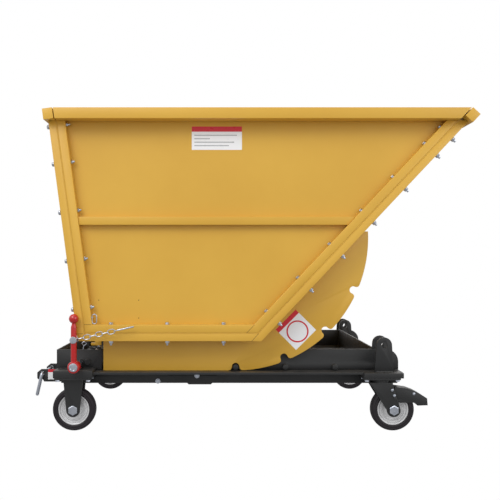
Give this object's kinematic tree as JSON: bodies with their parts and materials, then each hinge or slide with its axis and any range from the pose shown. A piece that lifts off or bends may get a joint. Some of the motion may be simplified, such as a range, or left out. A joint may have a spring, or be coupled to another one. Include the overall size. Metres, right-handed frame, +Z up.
{
  "type": "self-dumping tilt hopper on casters",
  "caption": "Open sheet-steel tipping hopper on notched rockers that roll along a caster base, with fork pockets and a release lever.",
  "frame": {"origin": "on the floor, below the middle of the whole object's box", "axes": "+Z up, +X towards the dumping lip, -Y the side with the release lever"},
  "size_m": [1.5402, 1.0096, 1.112],
  "materials": {
    "yellow_paint": "satin powder coat",
    "black_paint": "satin powder coat",
    "red_paint": "gloss",
    "zinc": "bright zinc plate",
    "wheel_rim": "satin grey",
    "tyre": "matte rubber"
  },
  "bodies": {
    "base": {"right_fork_tube": "black_paint", "left_fork_tube": "black_paint", "right_track": "black_paint", "left_track": "black_paint", "right_pin_rack": "black_paint", "left_pin_rack": "black_paint", "right_outer_lug": "black_paint", "right_inner_lug": "black_paint", "left_outer_lug": "black_paint", "left_inner_lug": "black_paint", "front_cross_plate": "black_paint", "latch_box": "black_paint", "latch_spring": "zinc", "right_rear_fork": "black_paint", "left_rear_fork": "black_paint", "right_rear_axle": "zinc", "left_rear_axle": "zinc", "right_front_swivel_plate": "black_paint", "left_front_swivel_plate": "black_paint"},
    "roll_carrier": {"roll_axis_button": "zinc"},
    "hopper": {"rear_sheet": "yellow_paint", "front_sheet": "yellow_paint", "floor_sheet": "yellow_paint", "rear_rim": "yellow_paint", "front_rim": "yellow_paint", "right_rim": "yellow_paint", "left_rim": "yellow_paint", "right_side_sheet": "yellow_paint", "left_side_sheet": "yellow_paint", "right_side_frame": "yellow_paint", "left_side_frame": "yellow_paint", "right_wrap_frame": "yellow_paint", "left_wrap_frame": "yellow_paint", "right_middle_rib": "yellow_paint", "left_middle_rib": "yellow_paint", "right_rocker": "yellow_paint", "left_rocker": "yellow_paint", "catch_plate": "yellow_paint"},
    "latch": {"lever_arm": "red_paint", "lever_knob": "red_paint", "latch_shaft": "zinc", "latch_hook": "zinc", "safety_chain": "zinc", "chain_pin": "zinc"},
    "keeper_right": {"right_keeper": "zinc"},
    "keeper_left": {"left_keeper": "zinc"},
    "wheel_rear_right": {"right_rear_rim": "wheel_rim", "right_rear_tyre": "tyre"},
    "wheel_rear_left": {"left_rear_rim": "wheel_rim", "left_rear_tyre": "tyre"},
    "swivel_right": {"right_front_swivel_fork": "black_paint", "right_front_axle": "zinc"},
    "swivel_left": {"left_front_swivel_fork": "black_paint", "left_front_axle": "zinc"},
    "wheel_front_right": {"right_front_rim": "wheel_rim", "right_front_tyre": "tyre"},
    "wheel_front_left": {"left_front_rim": "wheel_rim", "left_front_tyre": "tyre"},
    "brake_right": {"right_front_brake_pedal": "black_paint"},
    "brake_left": {"left_front_brake_pedal": "black_paint"}
  },
  "joints": [
    {"name": "roll_travel", "type": "slide", "parent": "base", "child": "roll_carrier", "axis": [1, 0, 0], "range_m": [0, 0.52]},
    {"name": "hopper_roll", "type": "hinge", "parent": "roll_carrier", "child": "hopper", "pos_m": [-0.05612, 0, 0.6738], "axis": [0, 1, 0], "range_deg": [0, 65.2]},
    {"name": "release_lever", "type": "hinge", "parent": "base", "child": "latch", "pos_m": [-0.60962, 0, 0.23], "axis": [0, 1, 0], "range_deg": [-35, 0], "stiffness_Nm_per_rad": 8, "springref_deg": 17.19},
    {"name": "keeper_right_swing", "type": "hinge", "parent": "base", "child": "keeper_right", "pos_m": [-0.74762, -0.2875, 0.19], "axis": [0, 1, 0], "range_deg": [0, 80]},
    {"name": "keeper_left_swing", "type": "hinge", "parent": "base", "child": "keeper_left", "pos_m": [-0.74762, 0.2875, 0.19], "axis": [0, 1, 0], "range_deg": [0, 80]},
    {"name": "wheel_rear_right_spin", "type": "hinge", "parent": "base", "child": "wheel_rear_right", "pos_m": [-0.62062, -0.415, 0.075], "axis": [0, 1, 0], "continuous": true},
    {"name": "wheel_rear_left_spin", "type": "hinge", "parent": "base", "child": "wheel_rear_left", "pos_m": [-0.62062, 0.415, 0.075], "axis": [0, 1, 0], "continuous": true},
    {"name": "caster_right_swivel", "type": "hinge", "parent": "base", "child": "swivel_right", "pos_m": [0.44938, -0.415, 0.166], "axis": [0, 0, 1], "continuous": true},
    {"name": "caster_left_swivel", "type": "hinge", "parent": "base", "child": "swivel_left", "pos_m": [0.44938, 0.415, 0.166], "axis": [0, 0, 1], "continuous": true},
    {"name": "wheel_front_right_spin", "type": "hinge", "parent": "swivel_right", "child": "wheel_front_right", "pos_m": [0.49038, -0.415, 0.075], "axis": [0, 1, 0], "continuous": true},
    {"name": "wheel_front_left_spin", "type": "hinge", "parent": "swivel_left", "child": "wheel_front_left", "pos_m": [0.49038, 0.415, 0.075], "axis": [0, 1, 0], "continuous": true},
    {"name": "brake_right_press", "type": "hinge", "parent": "swivel_right", "child": "brake_right", "pos_m": [0.49638, -0.415, 0.114], "axis": [0, 1, 0], "range_deg": [0, 10]},
    {"name": "brake_left_press", "type": "hinge", "parent": "swivel_left", "child": "brake_left", "pos_m": [0.49638, 0.415, 0.114], "axis": [0, 1, 0], "range_deg": [0, 10]}
  ],
  "couplings": [
    {"joint": "roll_travel", "follows": "hopper_roll", "m_per_rad": 0.4568}
  ]
}
